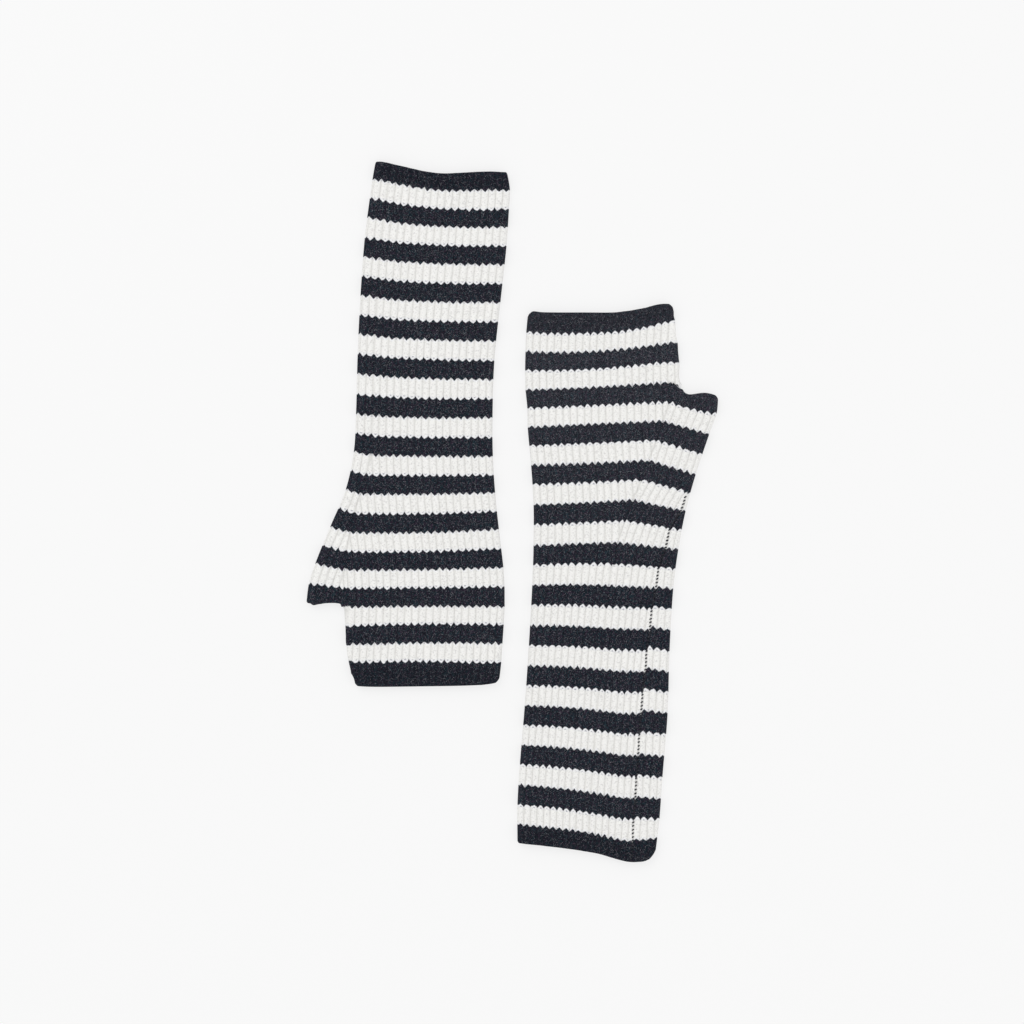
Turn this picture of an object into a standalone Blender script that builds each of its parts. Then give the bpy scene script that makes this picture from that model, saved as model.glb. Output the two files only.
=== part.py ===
"""A pair of rib-knitted, striped wrist warmers, laid flat side by side.

Each warmer is one knitted panel folded on the little finger's side and closed up the thumb's side,
so it is a flattened tube with an arm opening, a hand opening and a thumb opening. It is lofted from
sections, one for each change of stripe, and hollowed by flat cavities that run out of its openings.
In a warmer's own frame +X points to the thumb and +Y to the hand. Sizes are in millimetres, and the
meshes are made in metres.
"""

import math
from collections import namedtuple

import bmesh
import bpy

MM = 0.001
BANDS = 27

# The cloth: two layers, each a ribbed wall, folded over with a thin space between them.
VALLEY_HEIGHT = 4.4
RIB_RISE = 0.9
RIB_PITCH = 3.8
LOWER_WALL = 2.0
LAYER_GAP = 0.7
SIDE_WALL = 2.6
EDGE_ROUND = 1.9
HEM_HEIGHT = 0.93
HEM_RISE = 0.6

# Across one rib: the share of the pitch, and the share of the rise.
RIB_PROFILE = ((0.0, 0.0), (0.3, 1.0), (0.7, 1.0))
RIBS_TO_A_FACE_BELOW = 3

# The gusset widens from this band up to the thumb.
GUSSET_BAND = 13
CROTCH_BAND = 4
MOST_BODY_RIBS = 25
STRIP_RIBS_BEFORE = 3
STRIP_RIBS = 9
EDGE_RIBS = 4
CROTCH_CLOTH = 1.6

# How far from an opening, in bands, the sections lie that round its corners.
CORNER_ROWS = (0.05, 0.15, 0.4)

# The hollows run this far out of their openings, and each is a little taller than the one before.
CUT_PAST = 4.0
CUT_STEP = 0.06

SAME_POINT = 0.001
SHARP_ANGLE = 50

INK = (0.028, 0.029, 0.036)
CREAM = (0.80, 0.79, 0.76)
WOOL_ROUGHNESS = 0.95

# A section follows one course of knitting. fold is the little finger's side, ridge the course's
# highest point beside the thumb, and edge the thumb's side.
Section = namedtuple("Section", "band fold_x fold_y middle_y ridge_x ridge_y edge_x edge_y")

# An opening's edge is a curve through (x, y) points. The courses near it follow it, less and less
# over its fade in bands. Its two corners are round.
Hem = namedtuple("Hem", "band fade fold_round edge_round edge")

Warmer = namedtuple("Warmer", "name turned body_ribs hand hand_hem arm arm_hem thumb_hem seam")

SEAM_UP = Warmer(
    name="warmer_seam_up",
    turned=0,
    body_ribs=11,
    hand=(
        Section(0.0, 8.2, 107.2, 106.7, 75.0, 110.3, 86.2, 111.3),
        Section(1.0, 8.0, 95.7, 95.2, 75.0, 99.2, 87.0, 102.0),
        Section(2.0, 7.2, 85.6, 85.6, 75.5, 89.0, 88.4, 90.8),
        Section(3.0, 7.0, 75.5, 76.0, 76.0, 79.2, 89.4, 79.8),
        Section(3.85, 7.2, 66.8, 68.1, 80.0, 71.0, 89.7, 69.6),
        Section(4.0, 7.2, 65.2, 66.7, 84.0, 69.2, 92.0, 64.2),
    ),
    hand_hem=Hem(
        band=0, fade=2, fold_round=2.6, edge_round=3.2,
        edge=(
            (8.2, 107.2), (12.0, 107.3), (17.0, 106.8), (40.0, 106.7), (54.0, 106.7),
            (60.0, 107.3), (66.5, 108.3), (71.0, 109.2), (75.0, 110.3), (79.4, 111.2),
            (83.0, 111.3), (86.2, 111.0),
        ),
    ),
    arm=(
        Section(4.0, 7.2, 65.2, 66.7, 84.0, 69.2, 109.9, 62.0),
        Section(5.0, 8.2, 55.2, 56.8, 83.5, 58.6, 109.0, 52.4),
        Section(6.0, 8.4, 45.2, 47.0, 80.5, 48.5, 105.4, 41.5),
        Section(8.0, 10.2, 25.0, 26.0, 73.0, 27.6, 98.2, 20.0),
        Section(10.0, 11.5, 3.8, 4.9, 64.5, 6.4, 92.8, 0.4),
        Section(12.0, 11.5, -18.0, -17.0, 56.5, -16.3, 88.9, -20.0),
        Section(14.0, 10.8, -39.2, -38.8, 54.0, -39.4, 86.2, -41.0),
        Section(17.0, 9.0, -71.5, -72.0, 56.0, -73.8, 84.2, -74.4),
        Section(20.0, 6.8, -103.5, -104.6, 58.0, -107.6, 83.2, -107.5),
        Section(23.0, 4.2, -135.0, -137.2, 58.0, -141.0, 80.4, -142.0),
        Section(25.0, 2.9, -156.5, -159.2, 58.0, -164.0, 78.8, -164.2),
        Section(27.0, 2.9, -177.0, -180.6, 58.0, -186.2, 76.5, -185.6),
    ),
    arm_hem=Hem(
        band=27, fade=2, fold_round=1.2, edge_round=4.0,
        edge=(
            (2.9, -176.9), (6.7, -177.4), (15.2, -178.3), (28.1, -179.8), (40.9, -181.7),
            (47.3, -183.0), (53.8, -184.9), (60.2, -186.7), (63.4, -187.1), (66.6, -187.1),
            (70.9, -186.6), (74.1, -185.2), (76.5, -183.6),
        ),
    ),
    thumb_hem=Hem(
        band=4, fade=1, fold_round=0.0, edge_round=2.6,
        edge=(
            (84.0, 69.2), (87.0, 68.6), (89.0, 67.2), (90.5, 65.6), (92.0, 64.1), (94.0, 63.1),
            (96.0, 62.95), (99.8, 63.5), (103.0, 63.75), (106.0, 63.2), (109.9, 62.0),
        ),
    ),
    seam=(
        (10.0, 89.3), (12.0, 81.3), (14.0, 76.5), (17.0, 72.0), (20.0, 68.8), (23.0, 66.4),
        (25.0, 64.9), (27.0, 63.5),
    ),
)

SEAM_DOWN = Warmer(
    name="warmer_seam_down",
    turned=180,
    body_ribs=17,
    hand=(
        Section(0.0, 6.4, 90.8, 93.2, 73.0, 93.5, 85.2, 93.1),
        Section(1.0, 6.1, 80.0, 79.7, 74.5, 80.0, 87.0, 80.0),
        Section(2.0, 5.1, 70.3, 69.9, 75.5, 70.6, 88.5, 70.6),
        Section(3.0, 4.4, 60.0, 59.7, 77.0, 60.3, 89.2, 60.8),
        Section(3.85, 4.0, 52.2, 51.8, 79.0, 52.4, 89.7, 52.0),
        Section(4.0, 3.9, 50.6, 50.4, 84.0, 50.8, 91.0, 49.8),
    ),
    hand_hem=Hem(
        band=0, fade=2, fold_round=2.6, edge_round=3.6,
        edge=(
            (6.4, 90.6), (9.4, 91.4), (12.6, 92.1), (17.0, 92.5), (27.0, 92.9), (46.0, 93.2),
            (60.0, 93.4), (72.0, 93.5), (82.0, 93.2), (85.2, 93.0),
        ),
    ),
    arm=(
        Section(4.0, 3.9, 50.6, 50.4, 84.0, 50.8, 109.9, 48.6),
        Section(5.0, 4.0, 39.7, 40.3, 89.5, 40.7, 108.6, 38.4),
        Section(6.0, 4.6, 29.6, 30.8, 89.5, 31.0, 105.2, 27.6),
        Section(8.0, 7.0, 9.2, 11.0, 86.5, 11.0, 97.2, 8.0),
        Section(10.0, 9.0, -10.3, -9.5, 81.0, -9.6, 88.9, -12.0),
        Section(12.0, 10.2, -29.7, -29.7, 74.6, -30.2, 84.6, -32.0),
        Section(14.0, 10.4, -50.5, -50.2, 68.0, -51.0, 83.4, -52.2),
        Section(17.0, 9.4, -81.0, -81.4, 65.0, -82.6, 82.5, -84.5),
        Section(20.0, 6.2, -112.0, -112.0, 62.0, -113.2, 81.0, -115.6),
        Section(23.0, 2.9, -142.3, -142.4, 61.0, -144.0, 78.7, -146.6),
        Section(25.0, 1.9, -162.0, -161.8, 60.0, -164.5, 76.0, -167.8),
        Section(27.0, 1.9, -181.7, -181.2, 60.0, -184.9, 73.0, -187.2),
    ),
    arm_hem=Hem(
        band=27, fade=2, fold_round=2.2, edge_round=1.0,
        edge=(
            (1.9, -181.7), (5.0, -181.7), (10.4, -182.0), (16.9, -181.9), (26.5, -181.4),
            (36.0, -181.0), (42.5, -181.5), (49.0, -182.6), (55.4, -184.1), (62.0, -185.6),
            (68.7, -187.1), (71.0, -187.3), (73.0, -187.2),
        ),
    ),
    thumb_hem=Hem(
        band=4, fade=1, fold_round=0.0, edge_round=2.2,
        edge=(
            (84.0, 50.8), (88.0, 50.8), (90.5, 50.3), (92.0, 49.2), (94.0, 48.75), (97.0, 48.7),
            (100.3, 48.9), (103.5, 49.4), (106.0, 49.8), (109.9, 48.6),
        ),
    ),
    seam=(),
)


def smooth_between(keys, values, at):
    """A smooth curve through values at keys, read at one key."""
    last = len(keys) - 1
    i = max(j for j in range(last) if keys[j] <= at or j == 0)

    def slope(j):
        low, high = max(j - 1, 0), min(j + 1, last)
        return (values[high] - values[low]) / (keys[high] - keys[low])

    span = keys[i + 1] - keys[i]
    t = (at - keys[i]) / span
    start, end = values[i], values[i + 1]
    return (
        (1 + 2 * t) * (1 - t) ** 2 * start
        + t * (1 - t) ** 2 * span * slope(i)
        + t * t * (3 - 2 * t) * end
        + t * t * (t - 1) * span * slope(i + 1)
    )


def section_at(rows, band):
    keys = [row.band for row in rows]
    return Section(*(smooth_between(keys, column, band) for column in zip(*rows)))


def bowed_y(section, x):
    """A section's height at x: bowed from the fold to the ridge, then down to the edge."""
    fold_x, ridge_x = section.fold_x, section.ridge_x
    if x > ridge_x:
        left = max(section.edge_x - x, 0) / (section.edge_x - ridge_x)
        bend = max(2 - abs(section.band - CROTCH_BAND) / 2, 1)
        return section.edge_y + (section.ridge_y - section.edge_y) * left**bend
    t = (x - fold_x) / (ridge_x - fold_x)
    return (
        section.fold_y * (1 - t) * (1 - 2 * t)
        + section.middle_y * 4 * t * (1 - t)
        + section.ridge_y * t * (2 * t - 1)
    )


def corner_inset(distance, radius):
    """How far a round corner draws a side in, this far from the opening's edge."""
    short = max(radius - distance, 0)
    return radius - math.sqrt(radius**2 - short**2)


class Course:
    """One course of knitting, right across the arm or the hand."""

    def __init__(self, rows, hems, band):
        self.band = band
        self.section = section_at(rows, band)
        self.left = self.section.fold_x
        self.right = self.section.edge_x
        self.strays = []
        for hem in hems:
            end = section_at(rows, hem.band)
            self.left += corner_inset(abs(self.section.fold_y - end.fold_y), hem.fold_round)
            self.right -= corner_inset(abs(self.section.edge_y - end.edge_y), hem.edge_round)
            share = max(1 - abs(band - hem.band) / hem.fade, 0)
            self.strays.append((share, end, *zip(*hem.edge)))

    def y(self, x):
        """The course's height at x, with what it takes from an opening's edge nearby."""
        height = bowed_y(self.section, x)
        for share, end, places, heights in self.strays:
            held_x = min(max(x, places[0]), places[-1])
            height += share * (smooth_between(places, heights, held_x) - bowed_y(end, held_x))
        return height


def arm_course(warmer, band):
    return Course(warmer.arm, (warmer.arm_hem, warmer.thumb_hem), band)


def hand_course(warmer, band):
    return Course(warmer.hand, (warmer.hand_hem,), band)


def seam_x(warmer, course):
    """Where the seam runs on the upper face. It lies on the thumb's side above the wrist."""
    inner_edge = course.right - EDGE_ROUND
    if not warmer.seam or course.band < warmer.seam[0][0]:
        return inner_edge
    keys, places = zip(*warmer.seam)
    return min(smooth_between(keys, places, course.band), inner_edge)


def rib_points(first, ribs):
    """(ribs from the start, share of the rise) of each point across a run of ribs."""
    return [(rib + step, rise) for rib in range(first, ribs) for step, rise in RIB_PROFILE]


def held(x, low, high, rise):
    """A rib's point kept between two lines. One that meets a line lies in the valley there."""
    if x <= low:
        return low, 0.0
    if x >= high:
        return high, 0.0
    return x, rise


def body_end(warmer, course):
    """Where the upright ribs stop: at the gusset's line above the wrist, else at a fixed rib."""
    last_rib = course.section.fold_x + RIB_PITCH * warmer.body_ribs
    if course.band >= GUSSET_BAND:
        return last_rib
    return max(last_rib, course.section.ridge_x)


def body_columns(course, end):
    """(x, rise, whether the flat underside has a point here) from the fold to the end."""
    found = []
    for line, rise in rib_points(0, MOST_BODY_RIBS):
        x, rise = held(course.section.fold_x + RIB_PITCH * line, course.left, end, rise)
        found.append((x, rise, line % RIBS_TO_A_FACE_BELOW == 0))
    found.append((end, 0.0, True))
    return found


def strip_columns(warmer, course, start):
    """The gusset's slanted ribs, which follow the thumb's side, and then those beyond the seam."""
    end = seam_x(warmer, course)
    inner_edge = course.right - EDGE_ROUND
    wrist = arm_course(warmer, GUSSET_BAND)
    wrist_end = seam_x(warmer, wrist)
    found = []
    for line, rise in rib_points(-STRIP_RIBS_BEFORE, STRIP_RIBS):
        across = RIB_PITCH * (warmer.body_ribs + line)
        if course.band >= GUSSET_BAND:
            x = course.section.fold_x + across
        else:
            x = end - (wrist_end - wrist.section.fold_x - across)
        x, rise = held(x, start, end, rise)
        found.append((x, rise, line % RIBS_TO_A_FACE_BELOW == 0))
    for line, rise in rib_points(0, EDGE_RIBS):
        x, rise = held(end + RIB_PITCH * line, end, inner_edge, rise)
        found.append((x, rise, False))
    found.append((inner_edge, 0.0, True))
    return found


def rounded(distance):
    """The share of the full height this far in from a side fold."""
    inward = min(distance / SIDE_WALL, 1)
    return 0.5 + 0.5 * math.sqrt(1 - (1 - inward) ** 2)


def top_height(course, x, rise, hem_from):
    """The upper face's height. It is lower at an opening's edge, which lies beyond hem_from."""
    side = rounded(min(x - course.left, course.right - x))
    level = VALLEY_HEIGHT * (HEM_HEIGHT if x > hem_from else 1)
    ridge = RIB_RISE * (HEM_RISE if x > hem_from else 1)
    return side * (level + ridge * rise)


class Loft:
    """Rings of points joined by faces, where points that meet are one vertex."""

    def __init__(self):
        self.mesh = bmesh.new()

    def row(self, points):
        made = []
        for point in points:
            place = tuple(value * MM for value in point)
            if made and max(abs(a - b) for a, b in zip(made[-1].co, place)) < SAME_POINT * MM:
                made.append(made[-1])
            else:
                made.append(self.mesh.verts.new(place))
        return made

    def face(self, verts, material=0):
        ring = [v for i, v in enumerate(verts) if v is not verts[i - 1]]
        if len(set(ring)) == len(ring) > 2:
            self.mesh.faces.new(ring).material_index = material

    def skin(self, first, second, material=0):
        """Faces between two closed rings that have the same number of points."""
        for i in range(len(first)):
            self.face([first[i - 1], first[i], second[i], second[i - 1]], material)

    def finish(self, name, materials):
        bmesh.ops.recalc_face_normals(self.mesh, faces=self.mesh.faces)
        bmesh.ops.triangulate(self.mesh, faces=self.mesh.faces)
        data = bpy.data.meshes.new(name)
        self.mesh.to_mesh(data)
        self.mesh.free()
        for material in materials:
            data.materials.append(material)
        data.shade_smooth()
        data.set_sharp_from_angle(angle=math.radians(SHARP_ANGLE))
        return bpy.data.objects.new(name, data)


Ring = namedtuple("Ring", "top side bottom fold matches")


def whole(ring):
    return ring.top + ring.side + ring.bottom[::-1] + ring.fold


def side_points(course, right):
    """The two points of a round side, half way up and near the underside."""
    low_x = right - EDGE_ROUND / 4
    return [(right, course.y(right), VALLEY_HEIGHT / 2), (low_x, course.y(low_x), VALLEY_HEIGHT / 6)]


def make_ring(loft, course, columns, hem_from):
    """One course's ring: the ribbed top, the thumb's side, the flat bottom and the fold."""
    top = [
        (x, course.y(x), top_height(course, x, rise, hem_from))
        for x, rise, _ in columns
    ]
    side = side_points(course, course.right)
    matches = [i for i, (_, _, below) in enumerate(columns) if below]
    low = course.left + EDGE_ROUND
    bottom_x = [max(columns[i][0], low) for i in matches]
    bottom = [(x, course.y(x), 0.0) for x in bottom_x]
    fold_x = course.left + EDGE_ROUND / 4
    fold = [(fold_x, course.y(fold_x), VALLEY_HEIGHT / 6)]
    return Ring(*(loft.row(points) for points in (top, side, bottom, fold)), matches)


def close_end(loft, ring, first=0, material=0):
    """Faces across an open end, each from a run of the top down to the underside."""
    for low, high in zip(range(first, len(ring.matches)), range(first + 1, len(ring.matches))):
        top = ring.top[ring.matches[low] : ring.matches[high] + 1]
        corner = ring.fold if low == 0 else []
        loft.face(top + [ring.bottom[high], ring.bottom[low]] + corner, material)
    loft.face([ring.top[-1]] + ring.side + [ring.bottom[-1]], material)


def knit_bands(low, high, extra=()):
    return sorted(set(range(low, high + 1)) | set(extra))


def band_colour(above):
    """Even bands, counted from the hand, are dark, and both ends are dark."""
    return math.floor(above) % 2


def body_of(warmer, materials):
    """The closed outer form of a warmer."""
    loft = Loft()
    crotch = arm_course(warmer, CROTCH_BAND)
    hand_right = hand_course(warmer, CROTCH_BAND).right
    corner_x = hand_right - EDGE_ROUND

    hems = {BANDS: 0, CROTCH_BAND: hand_right}
    rings = {}
    near_thumb = [CROTCH_BAND + row for row in CORNER_ROWS]
    near_arm = [BANDS - row for row in CORNER_ROWS]
    arm_bands = knit_bands(CROTCH_BAND, BANDS, near_thumb + near_arm)
    for band in arm_bands:
        course = arm_course(warmer, band)
        end = corner_x if band == CROTCH_BAND else body_end(warmer, course)
        upright = body_columns(course, end)
        columns = upright + strip_columns(warmer, course, end)
        hem_from = hems.get(band, math.inf)
        rings[band] = make_ring(loft, course, columns, hem_from)
    for above, below in zip(arm_bands, arm_bands[1:]):
        loft.skin(whole(rings[above]), whole(rings[below]), band_colour(above))
    close_end(loft, rings[BANDS], material=band_colour(BANDS - 1))

    # At the crotch the hand's part takes the ring's upright ribs and gets a side of its own.
    wide = rings[CROTCH_BAND]
    upright_count = len(body_columns(crotch, corner_x))
    below_count = sum(1 for i in wide.matches if i < upright_count)
    side = loft.row(side_points(crotch, hand_right))
    narrow = Ring(
        wide.top[:upright_count], side, wide.bottom[:below_count], wide.fold,
        wide.matches[:below_count],
    )
    above = narrow
    near_crotch = [CROTCH_BAND - row for row in CORNER_ROWS]
    hand_bands = knit_bands(0, CROTCH_BAND - 1, list(CORNER_ROWS) + near_crotch)
    for band in reversed(hand_bands):
        course = hand_course(warmer, band)
        upright = body_columns(course, course.right - EDGE_ROUND)
        ring = make_ring(loft, course, upright, math.inf if band else 0)
        loft.skin(whole(above), whole(ring), band_colour(band))
        above = ring
    close_end(loft, above, material=band_colour(0))

    # The thumb's opening closes the rest of the wide ring.
    next_match = below_count + 1
    while wide.top[wide.matches[next_match]].co.x < side[0].co.x + MM:
        next_match += 1
    loft.face(
        wide.top[upright_count - 1 : wide.matches[next_match] + 1]
        + [wide.bottom[i] for i in range(next_match, below_count - 2, -1)]
        + side[::-1],
        band_colour(CROTCH_BAND),
    )
    close_end(loft, wide, next_match, band_colour(CROTCH_BAND))
    return loft.finish(warmer.name, materials)


def cavity(name, courses, widest, step):
    """A flat hollow through the given courses, kept a wall's width inside their sides."""
    loft = Loft()
    low = LOWER_WALL - step
    high = LOWER_WALL + LAYER_GAP + step
    rings = []
    for course, shift in courses:
        left = course.section.fold_x + SIDE_WALL
        right = min(course.section.edge_x - SIDE_WALL, widest)
        ridge = min(course.section.ridge_x, right - SIDE_WALL)
        xs = (left, (left + ridge) / 2, ridge, (ridge + right) / 2, right)
        outline = [(x, course.y(x) + shift) for x in xs]
        rings.append(loft.row([(*p, high) for p in outline] + [(*p, low) for p in outline[::-1]]))
    for first, second in zip(rings, rings[1:]):
        loft.skin(first, second)
    for end in (rings[0], rings[-1]):
        back = end[::-1]
        for i in range(len(end) // 2 - 1):
            loft.face([end[i], end[i + 1], back[i + 1], back[i]])
    return loft.finish(name, ())


def cavities_of(warmer):
    """The hollows of the arm, the hand and the thumb's opening, as cutters that overlap."""
    arm = [arm_course(warmer, band) for band in knit_bands(CROTCH_BAND + 1, BANDS)]
    crotch = arm_course(warmer, CROTCH_BAND)
    hand = [hand_course(warmer, band) for band in range(CROTCH_BAND)]
    hand_crotch = hand_course(warmer, CROTCH_BAND)

    arm_runs = [(crotch, -CROTCH_CLOTH)] + [(c, 0) for c in arm] + [(arm[-1], -CUT_PAST)]
    hand_runs = [(hand[0], CUT_PAST)] + [(c, 0) for c in hand]
    hand_runs += [(hand_crotch, 0), (hand_crotch, -CUT_PAST)]
    hand_right = hand[-1].right - SIDE_WALL
    cutters = [
        cavity(warmer.name + "_arm_hollow", arm_runs, math.inf, 0),
        cavity(warmer.name + "_hand_hollow", hand_runs, hand_right, CUT_STEP),
    ]

    left = hand_crotch.right + EDGE_ROUND / 4
    right = crotch.section.edge_x - SIDE_WALL
    middle_y = crotch.y((left + right) / 2)
    mouth = bmesh.new()
    bmesh.ops.create_cube(mouth, size=MM)
    size = (right - left, 2 * CUT_PAST, LAYER_GAP + 4 * CUT_STEP)
    bmesh.ops.scale(mouth, vec=size, verts=mouth.verts)
    place = ((left + right) / 2, middle_y, LOWER_WALL + LAYER_GAP / 2)
    bmesh.ops.translate(mouth, vec=[value * MM for value in place], verts=mouth.verts)
    data = bpy.data.meshes.new(warmer.name + "_thumb_mouth")
    mouth.to_mesh(data)
    mouth.free()
    cutters.append(bpy.data.objects.new(data.name, data))
    return cutters


def wool(name, colour):
    material = bpy.data.materials.new(name)
    material.use_nodes = True
    shader = material.node_tree.nodes["Principled BSDF"]
    shader.inputs["Base Color"].default_value = (*colour, 1)
    shader.inputs["Roughness"].default_value = WOOL_ROUGHNESS
    shader.inputs["Metallic"].default_value = 0.0
    material.diffuse_color = (*colour, 1)
    return material


def clear_scene():
    for obj in list(bpy.data.objects):
        bpy.data.objects.remove(obj, do_unlink=True)


def new_collection(name):
    collection = bpy.data.collections.new(name)
    bpy.context.scene.collection.children.link(collection)
    return collection


def place_warmer(warmer, parts, cutters):
    """A warmer under its own empty, which turns it the way that it lies."""
    holder = bpy.data.objects.new(warmer.name + "_place", None)
    holder.rotation_euler.z = math.radians(warmer.turned)
    parts.objects.link(holder)
    body = body_of(warmer, (wool(warmer.name + "_ink", INK), wool(warmer.name + "_cream", CREAM)))
    parts.objects.link(body)
    body.parent = holder
    for cutter in cavities_of(warmer):
        cutters.objects.link(cutter)
        cutter.parent = holder
        cutter.hide_render = True
        cutter.display_type = "WIRE"
        cut = body.modifiers.new(cutter.name, "BOOLEAN")
        cut.operation = "DIFFERENCE"
        cut.object = cutter


def main():
    clear_scene()
    parts = new_collection("wrist_warmers")
    cutters = new_collection("hollows")
    for warmer in (SEAM_UP, SEAM_DOWN):
        place_warmer(warmer, parts, cutters)


main()
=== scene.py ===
"""The looks of a pair of rib-knitted, striped wrist warmers, laid flat side by side.

Each warmer is knitted as grids of points that are bent round its sections, so that every rib, course
and stitch leg has its form. Sizes are in millimetres where nothing else is said, and meshes are made
in metres. In a warmer's own frame +X points to the thumb and +Y to the hand.
"""

import math
from collections import namedtuple

import bmesh
import bpy
import numpy as np
from mathutils import Matrix, Vector


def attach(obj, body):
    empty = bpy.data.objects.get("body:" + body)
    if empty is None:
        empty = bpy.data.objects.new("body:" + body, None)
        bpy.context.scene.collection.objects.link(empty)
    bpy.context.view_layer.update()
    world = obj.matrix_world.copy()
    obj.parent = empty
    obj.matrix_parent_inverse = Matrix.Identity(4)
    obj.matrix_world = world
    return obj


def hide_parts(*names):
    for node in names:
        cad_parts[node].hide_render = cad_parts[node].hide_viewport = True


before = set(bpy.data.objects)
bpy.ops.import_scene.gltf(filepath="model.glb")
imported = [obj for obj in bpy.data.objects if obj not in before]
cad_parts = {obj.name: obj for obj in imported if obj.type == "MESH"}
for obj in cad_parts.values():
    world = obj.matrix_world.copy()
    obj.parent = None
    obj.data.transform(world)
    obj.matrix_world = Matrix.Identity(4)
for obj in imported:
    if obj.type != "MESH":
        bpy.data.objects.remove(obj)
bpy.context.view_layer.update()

MM = 0.001
BANDS = 27
COURSES_TO_A_BAND = 6
ROWS_TO_A_COURSE = 2
POINTS_TO_A_RIB = 6

# The cloth: two layers, each a ribbed wall, folded over with a thin space between them.
VALLEY_HEIGHT = 4.3
RIB_RISE = 1.0
RIB_PITCH = 3.8
LOWER_WALL = 2.0
LAYER_GAP = 0.7
SIDE_WALL = 2.6
EDGE_ROUND = 1.9
UNDER_RISE = 0.7

# The stitches: their legs lean together towards the hand along each rib's crest, where a groove
# parts them. A smaller power makes a rib broader on top.
STITCH_POINT = 1.6
STITCH_RELIEF = 0.13
LEG_GROOVE = 0.12
GROOVE_START = 0.75
CREST_POWER = 0.85
VALLEY_WIDTH = 1.1

# Unevenness: ribs wobble and stitches lean more or less on one wavelength, and the cloth swells on
# another. WAVE_SHORTEST is a share of the wavelength, and the lower face has a seed of its own.
WAVES = 7
WAVE_SHORTEST = 0.6
RIB_WOBBLE = 0.24
WOBBLE_FROM_SIDE = 1.0
LEAN_CHANGE = 0.3
RIB_WAVE = 6.0
SWELL = 0.09
SWELL_WAVE = 28.0
UNDER_SEED = 50

# An opening's edge. The stitches straighten over HEM_FADE bands, until HEM_RISE of the ribs' relief
# is left and the lines are drawn back by HEM_TUCK. The rows that curl over it are given as
# (out, share of the thickness). The thumb's edge sets in over THUMB_HEM_START from the corner, and
# THUMB_HEM_BAND keeps it inside its dark band in the map that the material reads.
HEM_FADE = 0.35
HEM_RISE = 0.6
HEM_TUCK = 0.5
HEM_CURL = ((0.25, 0.86), (0.42, 0.55), (0.5, 0.0))
THUMB_HEM_START = 2.0
THUMB_HEM_BAND = 4.14

# The gusset widens from GUSSET_BAND up to the thumb's opening at CROTCH_BAND, where the lines beside
# the thumb bend the most. Each line crosses three runs of ribs: the body's, the gusset's strip and
# the edge beyond the seam. Every line has as many points, and those past the end of a run lie
# together on it. The strip and the edge count their ribs from numbers of their own.
GUSSET_BAND = 13
CROTCH_BAND = 4
CROTCH_BEND = 2.0
BEND_FADE = 2.0
MOST_BODY_RIBS = 25
STRIP_RIBS_BEFORE = 3
STRIP_RIBS = 9
EDGE_RIBS = 4
GUSSET_COUNT = 100
EDGE_COUNT = 200

# The bands beyond the seam lie nearer the hand than those before it, by (band, distance).
SEAM_JOG = ((9.0, 0.0), (13.0, 0.0), (16.0, 1.8), (20.0, 1.9), (22.0, 0.9), (27.0, 0.9))
JOG_WIDTH = 0.8

# The hollows: how much cloth is left at the crotch, how far the cutters reach past an opening, and
# how much taller each next cutter is.
CROTCH_CLOTH = 1.6
CUT_PAST = 4.0
CUT_STEP = 0.06

# Points nearer than this are made one.
WELD = 0.004

# A section follows one course of knitting. fold is the little finger's side, ridge the course's
# highest point beside the thumb, and edge the thumb's side.
Section = namedtuple("Section", "band fold_x fold_y middle_y ridge_x ridge_y edge_x edge_y")

# An opening's edge is a curve through (x, y) points. The courses near it follow it, less and less
# over its fade in bands. Its two corners are round.
Hem = namedtuple("Hem", "band fade fold_round edge_round edge")

# turned is in degrees, body_ribs counts the upright ribs below the wrist, and the last field is how
# far the dark wool pales towards the hand.
Warmer = namedtuple(
    "Warmer", "node slot turned body_ribs hand hand_hem arm arm_hem thumb_hem seam_on_top worn"
)

# Where the seam runs, as (band, x), down from the gusset's edge. It steps aside in the dark bands.
SEAM = (
    (9.0, 94.6), (10.0, 89.3), (12.0, 81.3), (14.0, 76.5), (17.0, 72.0), (20.0, 68.8), (23.0, 66.4),
    (25.0, 64.9), (27.0, 63.5),
)
SEAM_STEP = 0.17

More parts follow.
